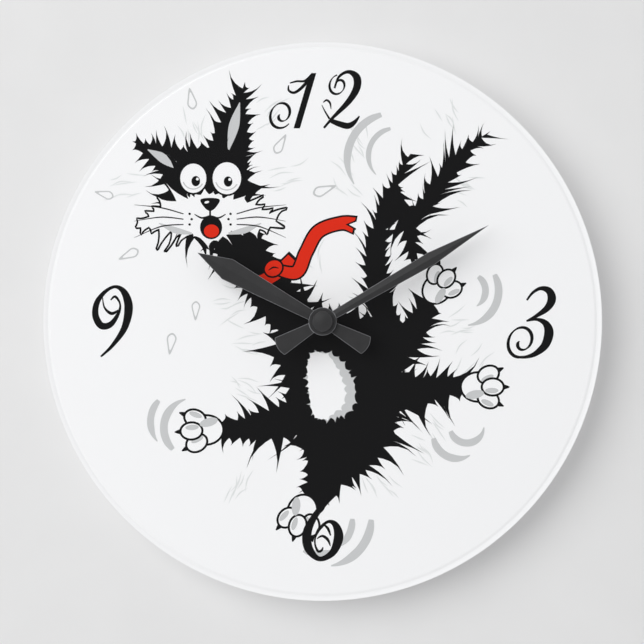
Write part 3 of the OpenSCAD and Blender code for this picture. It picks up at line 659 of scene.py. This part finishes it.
class Look:
    """A Principled material, and the procedural detail that is added to it.

    Scales are in repeats per metre, and bump depths in metres.
    """

    def __init__(self, name, colour, roughness, **sockets):
        """sockets are other inputs of the shader, such as coat_weight for Coat Weight."""
        self.material = bpy.data.materials.new(name)
        self.material.use_nodes = True
        self.tree = self.material.node_tree
        self.shader = self.tree.nodes["Principled BSDF"]
        self.shader.inputs["Base Color"].default_value = linear(colour)
        self.shader.inputs["Roughness"].default_value = roughness
        for word, value in sockets.items():
            socket = word.replace("_", " ").title().replace("Ior", "IOR")
            self.shader.inputs[socket].default_value = value
        self.place = self.node("ShaderNodeTexCoord").outputs["Object"]

    def node(self, kind, **settings):
        """A new node. Each setting is a property of it or, where it has none of that name, an input."""
        made = self.tree.nodes.new(kind)
        for key, value in settings.items():
            if hasattr(made, key):
                setattr(made, key, value)
            else:
                made.inputs[key].default_value = value
        return made

    def link(self, source, target):
        self.tree.links.new(source, target)

    def stretched(self, x, y, z):
        """The place on the object, scaled by axis, for brushed or striped patterns."""
        mapping = self.node("ShaderNodeMapping", Scale=(x, y, z))
        self.link(self.place, mapping.inputs["Vector"])
        return mapping.outputs["Vector"]

    def noise(self, scale, detail=3.0, vector=None):
        made = self.node("ShaderNodeTexNoise", Scale=scale, Detail=detail)
        self.link(vector or self.place, made.inputs["Vector"])
        return made.outputs["Fac"]

    def map_range(self, value, from_min, from_max, to_min=0.0, to_max=1.0):
        spread = self.node("ShaderNodeMapRange")
        spread.inputs["From Min"].default_value = from_min
        spread.inputs["From Max"].default_value = from_max
        spread.inputs["To Min"].default_value = to_min
        spread.inputs["To Max"].default_value = to_max
        self.link(value, spread.inputs["Value"])
        return spread.outputs["Result"]

    def mix_colours(self, share, low, high):
        """Makes the base colour go from low to high as share goes from 0 to 1."""
        mix = self.node("ShaderNodeMix", data_type="RGBA")
        # sockets 6 and 7 are this node's two colours, and its output 2 is the mixed one
        self.link(share, mix.inputs[0])
        mix.inputs[6].default_value = linear(low)
        mix.inputs[7].default_value = linear(high)
        self.link(mix.outputs[2], self.shader.inputs["Base Color"])
        return self

    def vary_colour(self, low, high, scale, detail=3.0):
        """Mixes two colours by noise."""
        return self.mix_colours(self.map_range(self.noise(scale, detail), *NOISE_RANGE), low, high)

    def vary_roughness(self, low, high, scale, vector=None):
        """Lets the roughness go between two values by noise."""
        spread = self.map_range(self.noise(scale, vector=vector), *NOISE_RANGE, low, high)
        self.link(spread, self.shader.inputs["Roughness"])
        return self

    def bump(self, height, depth, strength=1.0):
        """Adds relief, on top of any that is there."""
        made = self.node("ShaderNodeBump", Strength=strength, Distance=depth)
        self.link(height, made.inputs["Height"])
        normal = self.shader.inputs["Normal"]
        if normal.links:
            self.link(normal.links[0].from_socket, made.inputs["Normal"])
        self.link(made.outputs["Normal"], normal)
        return self

    def grain(self, scale, depth, strength=1.0, vector=None):
        return self.bump(self.noise(scale, 2.0, vector), depth, strength)


def ink_material(name):
    colour, roughness = INKS[name]
    look = Look("ink_" + name, colour, roughness, specular_ior_level=0.0)
    return look.vary_roughness(roughness - 0.05, roughness + 0.08, 900).material


def clear_acrylic():
    return Look("clear_acrylic", "#fdfefe", 0.0, transmission_weight=1.0, ior=1.49).material


def printed_white():
    """White ink, with a shallow round dip near the rim, which the acrylic's rounded edge spreads out.

    The dip stands for light that the real edge gathers: it is a bump, and painted shade where the white is a
    little darker at its bottom. Its two distances are measured in from the rim.
    """
    dip_start, dip_end, dip_depth = 2.8 * MM, 1.4 * MM, 0.1 * MM
    white, painted_shade_white = "#fafafb", "#f5f5f6"
    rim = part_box("printed_backing")[1].x
    look = Look("printed_white", white, 0.5, specular_ior_level=0.0)
    radius = look.node("ShaderNodeVectorMath", operation="LENGTH")
    look.link(look.stretched(1, 0, 1), radius.inputs[0])
    # -1 at one side of the dip, 0 at its bottom and 1 at its other side
    across = look.map_range(radius.outputs["Value"], rim - dip_start, rim - dip_end, -1.0, 1.0)
    height = look.node("ShaderNodeMath", operation="ABSOLUTE")
    look.link(across, height.inputs[0])
    look.bump(height.outputs["Value"], dip_depth)
    # painted shade: the white goes a little darker towards the bottom of the dip
    look.mix_colours(height.outputs["Value"], painted_shade_white, white)
    return look.vary_roughness(0.42, 0.55, 700).material


def black_abs():
    look = Look("black_abs", "#1a1a1b", 0.5)
    look.vary_colour("#161617", "#202021", 140)
    look.vary_roughness(0.42, 0.6, 500)
    return look.grain(2600, 0.06 * MM, 0.5).material


def brass():
    look = Look("brass", "#c9a24e", 0.25, metallic=1.0)
    look.vary_colour("#bf9745", "#d2ae5e", 260)
    look.vary_roughness(0.2, 0.36, 900)
    # fine turned lines round the hands' axis
    wave = look.node(
        "ShaderNodeTexWave", wave_type="RINGS", rings_direction="Y", Scale=1333.0, Distortion=0.4
    )
    look.link(look.place, wave.inputs["Vector"])
    return look.bump(wave.outputs["Fac"], 0.01 * MM, 0.6).material


def nylon():
    look = Look("nylon", "#ece8dc", 0.38, subsurface_weight=0.15, subsurface_scale=1.0 * MM)
    look.vary_colour("#e8e4d6", "#f0ece2", 300)
    return look.grain(1800, 0.03 * MM, 0.3).material


def circuit_green():
    """Solder resist, with a faint net of tracks below it."""
    look = Look("circuit_green", "#1d5a33", 0.35, coat_weight=0.4, coat_roughness=0.2)
    bricks = look.node("ShaderNodeTexBrick", Scale=300.0)
    look.link(look.stretched(1, 0, 1), bricks.inputs["Vector"])
    bricks.inputs["Color1"].default_value = linear("#1d5a33")
    bricks.inputs["Color2"].default_value = linear("#246a3d")
    bricks.inputs["Mortar"].default_value = linear("#2f7d4a")
    look.link(bricks.outputs["Color"], look.shader.inputs["Base Color"])
    return look.bump(bricks.outputs["Fac"], 0.03 * MM, 0.5).material


def potting_black():
    look = Look("potting_black", "#0e0e10", 0.16)
    return look.grain(220, 0.08 * MM, 0.4).material


def bright_steel():
    look = Look("bright_steel", "#c3c5c9", 0.3, metallic=1.0)
    look.vary_roughness(0.22, 0.42, 60, look.stretched(60, 4, 60))
    return look.grain(160, 0.01 * MM, 0.4, look.stretched(20, 1, 1)).material


def zinc_steel():
    look = Look("zinc_steel", "#b9bcc0", 0.34, metallic=1.0)
    look.vary_colour("#aeb1b5", "#c8cbce", 190, 1.0)
    look.vary_roughness(0.26, 0.46, 120)
    return look.grain(900, 0.02 * MM, 0.35).material


def copper_wire():
    look = Look("copper_wire", "#a85a2c", 0.28, metallic=1.0, coat_weight=0.6, coat_roughness=0.15)
    look.vary_colour("#9a4f25", "#b96735", 400)
    # turns of wire, side by side
    wave = look.node(
        "ShaderNodeTexWave", wave_type="BANDS", bands_direction="X", Scale=1200.0, Distortion=0.3
    )
    look.link(look.place, wave.inputs["Vector"])
    return look.bump(wave.outputs["Fac"], 0.06 * MM, 0.8).material


def black_rubber():
    look = Look("black_rubber", "#141415", 0.75)
    look.vary_roughness(0.65, 0.85, 400)
    return look.grain(1500, 0.08 * MM, 0.6).material


def charcoal_aluminium():
    """Satin paint of the hands and the cap nut."""
    look = Look("charcoal_aluminium", "#323233", 0.3, specular_ior_level=0.5)
    look.vary_colour("#303031", "#343435", 160)
    look.vary_roughness(0.28, 0.32, 60)
    return look.grain(900, 0.004 * MM, 0.3).material


def painted_highlight_edge():
    """A lighter grey of the same paint along the hands' bevelled edges: a painted highlight, where the edges
    catch the light.
    """
    look = Look("painted_highlight_edge", "#78797c", 0.35)
    return look.vary_colour("#737477", "#7e7f82", 500).material


def magnet_grey():
    look = Look("magnet_grey", "#3f4044", 0.45, metallic=0.7)
    look.vary_colour("#37383c", "#4a4b50", 900)
    return look.grain(2200, 0.03 * MM, 0.5).material


def battery_steel():
    look = Look("battery_steel", "#c9cbce", 0.22, metallic=1.0)
    return look.vary_roughness(0.16, 0.32, 300).material


def battery_label():
    """Printed film: a long body band between two light ones, with thin dark lines where they meet."""
    look = Look("battery_label", "#34696f", 0.3, coat_weight=0.5, coat_roughness=0.12)
    low, high = (corner.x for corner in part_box("battery_wrap"))
    split = look.node("ShaderNodeSeparateXYZ")
    look.link(look.place, split.inputs["Vector"])
    along = look.map_range(split.outputs["X"], low, high)
    ramp = look.node("ShaderNodeValToRGB")
    ramp.color_ramp.interpolation = "CONSTANT"
    light, line, body = "#dfe4e3", "#1e2426", "#2f666c"
    bands = [(0.0, light), (0.2, line), (0.215, body), (0.93, line), (0.945, light)]
    stops = ramp.color_ramp.elements
    for i, (at, colour) in enumerate(bands):
        stop = stops[i] if i < len(stops) else stops.new(at)
        stop.position = at
        stop.color = linear(colour)
    look.link(along, ramp.inputs["Fac"])
    look.link(ramp.outputs["Color"], look.shader.inputs["Base Color"])
    return look.grain(700, 0.02 * MM, 0.2).material


MATERIALS = {
    "clear_acrylic": clear_acrylic,
    "printed_white": printed_white,
    "black_abs": black_abs,
    "brass": brass,
    "nylon": nylon,
    "circuit_green": circuit_green,
    "potting_black": potting_black,
    "bright_steel": bright_steel,
    "zinc_steel": zinc_steel,
    "copper_wire": copper_wire,
    "black_rubber": black_rubber,
    "charcoal_aluminium": charcoal_aluminium,
    "magnet_grey": magnet_grey,
    "battery_steel": battery_steel,
    "battery_label": battery_label,
}


def paint_nodes():
    """Gives each CAD node the material of its slot."""
    made = {slot: make() for slot, make in MATERIALS.items()}
    for part in frame["record"]["subparts"]:
        mesh = frame["nodes"][part["node"]].data
        mesh.materials.clear()
        mesh.materials.append(made[part["material_slot"]])
    return made


def soften(node, width, segments=3, edge=None):
    """Rounds a CAD node's edges, which a mould or a press leaves slightly soft.

    edge is the material that shows along them, where it isn't the node's own.
    """
    least_angle = math.radians(32)
    piece = frame["nodes"][node]
    weld = piece.modifiers.new("weld", "WELD")
    weld.merge_threshold = 0.002 * MM
    bevel = piece.modifiers.new("bevel", "BEVEL")
    bevel.width = width
    bevel.segments = segments
    bevel.limit_method = "ANGLE"
    bevel.angle_limit = least_angle
    bevel.harden_normals = True
    if edge:
        # a hand's tip is so narrow that clamping there would thin the whole edge
        bevel.use_clamp_overlap = False
        piece.data.materials.append(edge)
        bevel.material = 1


# ---------- the clock's own pieces ----------

def clear_dial(acrylic):
    """The acrylic slab. It reaches a little into the white backing, so the inks lie in it with no air gap."""
    overlap = 0.1 * MM
    low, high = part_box("acrylic_dial")
    radius = high.x
    front = -low.y
    back = -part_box("printed_backing")[0].y - overlap
    hole_r = 4.15 * MM
    hole_chamfer = 0.3 * MM
    front_r = 3.6 * MM
    back_chamfer = 0.4 * MM
    # a narrow ring beside each edge keeps the rest of a face optically flat
    hole_ring = hole_r + 0.6 * MM
    rim_ring = 0.1 * MM
    profile = [
        (hole_r, back), (hole_ring, back), (radius - back_chamfer - rim_ring, back),
        (radius - back_chamfer, back), (radius, back + back_chamfer),
    ]
    steps = 16
    for i in range(steps + 1):
        a = math.radians(90 * i / steps)
        profile.append((radius - front_r + front_r * math.cos(a), front - front_r + front_r * math.sin(a)))
    profile += [
        (radius - front_r - rim_ring, front), (hole_ring, front), (hole_r + hole_chamfer, front),
        (hole_r, front - hole_chamfer),
    ]
    piece = lathe("clear_dial", profile)
    piece.data.materials.append(acrylic)
    # the lamps' light goes straight through it to the print
    piece.visible_shadow = False
    piece.visible_diffuse = False
    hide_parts("acrylic_dial")
    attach(piece, "clock_body")


def printed_picture():
    """The inks, a little in front of the white backing. The backing itself is the drawing's white."""
    gap, thickness = 0.02 * MM, 0.03 * MM
    draw_all()
    corners, faces, top = cut_into_inks(SHAPES)
    back = -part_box("printed_backing")[0].y + gap
    for name in INKS:
        piece = slab("print_" + name, corners, faces[top == name], back, back + thickness)
        piece.data.materials.append(ink_material(name))
        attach(piece, "clock_body")


# ---------- wall, lights and camera ----------

ROOM_LIGHT = 0.56
ROOM_COLOUR = (0.995, 0.995, 1.0, 1)
# ways from the clock to the main lamp, to the lamp behind the clock, and to the bright patch of the room
KEY_WAY = (-0.579, -0.766, 0.283)
BACK_WAY = (0.4, 0.75, 0.5)
PATCH_WAY = (-0.113, -0.98, 0.156)


def wall():
    """The wall behind the clock. It shows from its front only, so the clock can be seen from behind."""
    half, gap = 1.5, 0.5 * MM
    y = cad_box[1].y + gap
    corners = [(-half, y, -half), (half, y, -half), (half, y, half), (-half, y, half)]
    mesh = bpy.data.meshes.new("wall")
    mesh.from_pydata(corners, [], [(0, 1, 2, 3)])
    piece = add("wall", mesh)
    look = Look("wall_paint", "#e4e4e4", 0.9, specular_ior_level=0.0)
    look.vary_colour("#e3e3e3", "#e5e5e5", 30)
    side = look.node("ShaderNodeNewGeometry")
    clear = look.node("ShaderNodeBsdfTransparent")
    mix = look.node("ShaderNodeMixShader")
    look.link(side.outputs["Backfacing"], mix.inputs[0])
    look.link(look.shader.outputs[0], mix.inputs[1])
    look.link(clear.outputs[0], mix.inputs[2])
    look.link(mix.outputs[0], look.tree.nodes["Material Output"].inputs["Surface"])
    mesh.materials.append(look.material)
    piece.visible_shadow = False
    piece.visible_diffuse = False


def lamp(name, way, distance, size, power):
    """A round soft lamp that shines at the clock from a direction."""
    data = bpy.data.lights.new(name, "AREA")
    data.shape = "DISK"
    data.size = size
    data.energy = power
    piece = bpy.data.objects.new(name, data)
    piece.location = Vector(way).normalized() * distance
    piece.rotation_euler = (-piece.location).to_track_quat("-Z", "Y").to_euler()
    piece.visible_camera = False
    bpy.context.scene.collection.objects.link(piece)
    return piece


def world():
    """A pale room: dim straight behind the camera, with a bright patch beside it that the hands mirror."""
    made = bpy.data.worlds.new("room")
    bpy.context.scene.world = made
    made.use_nodes = True
    tree = made.node_tree
    coords = tree.nodes.new("ShaderNodeTexCoord").outputs["Generated"]

    def towards(way, near, far, inner, outer):
        """A value that goes smoothly from inner to outer between near and far degrees off a direction."""
        dot = tree.nodes.new("ShaderNodeVectorMath")
        dot.operation = "DOT_PRODUCT"
        dot.inputs[1].default_value = Vector(way).normalized()
        spread = tree.nodes.new("ShaderNodeMapRange")
        spread.interpolation_type = "SMOOTHSTEP"
        spread.inputs["From Min"].default_value = math.cos(math.radians(far))
        spread.inputs["From Max"].default_value = math.cos(math.radians(near))
        spread.inputs["To Min"].default_value = outer
        spread.inputs["To Max"].default_value = inner
        tree.links.new(coords, dot.inputs[0])
        tree.links.new(dot.outputs["Value"], spread.inputs["Value"])
        return spread.outputs["Result"]

    both = tree.nodes.new("ShaderNodeMath")
    both.operation = "ADD"
    dim = towards((0, -1, 0), near=6, far=26, inner=0.1, outer=ROOM_LIGHT)
    patch = towards(PATCH_WAY, near=2, far=6, inner=3.0, outer=0)
    tree.links.new(dim, both.inputs[0])
    tree.links.new(patch, both.inputs[1])
    # the camera itself sees the room as one even tone
    ray = tree.nodes.new("ShaderNodeLightPath")
    seen = tree.nodes.new("ShaderNodeMix")
    # sockets 2 and 3 are this node's two values
    tree.links.new(ray.outputs["Is Camera Ray"], seen.inputs[0])
    tree.links.new(both.outputs["Value"], seen.inputs[2])
    seen.inputs[3].default_value = ROOM_LIGHT
    background = tree.nodes["Background"]
    background.inputs["Color"].default_value = ROOM_COLOUR
    tree.links.new(seen.outputs[0], background.inputs["Strength"])


def camera():
    """Straight on, from far enough away that the view is nearly parallel."""
    distance = 1.8
    view_width = 314 * MM
    # how far the middle of the view lies from the hands' axis
    left, down = 0.3 * MM, 0.25 * MM
    data = bpy.data.cameras.new("camera")
    data.sensor_width = 36
    data.lens = data.sensor_width * distance / view_width
    data.clip_start = 0.1
    piece = bpy.data.objects.new("camera", data)
    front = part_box("acrylic_dial")[0].y
    piece.location = (-left, front - distance, -down)
    piece.rotation_euler = (math.radians(90), 0, 0)
    bpy.context.scene.collection.objects.link(piece)
    bpy.context.scene.camera = piece


# ---------- building the scene ----------

looks = paint_nodes()
for node, width in (
    ("front_case", 0.25 * MM), ("rear_cover", 0.25 * MM), ("hanger_bracket", 0.15 * MM),
    ("hex_nut", 0.2 * MM), ("setting_knob", 0.12 * MM), ("battery_can", 0.4 * MM),
    ("brass_washer", 0.1 * MM), ("rubber_gasket", 0.15 * MM),
):
    soften(node, width)
# the hands' bevels get a lighter grey, a painted highlight along their edges
edge_highlight = painted_highlight_edge()
for node in ("hour_hand", "minute_hand"):
    soften(node, 0.2 * MM, segments=2, edge=edge_highlight)
clear_dial(looks["clear_acrylic"])
printed_picture()
wall()
key = lamp("key", KEY_WAY, distance=3.5, size=3.4, power=88.0)
# the hands and the acrylic mirror the room and not this lamp
key.visible_glossy = False
lamp("back", BACK_WAY, distance=1.7, size=0.8, power=8.0)
world()
camera()
bpy.context.scene.view_settings.view_transform = "Standard"
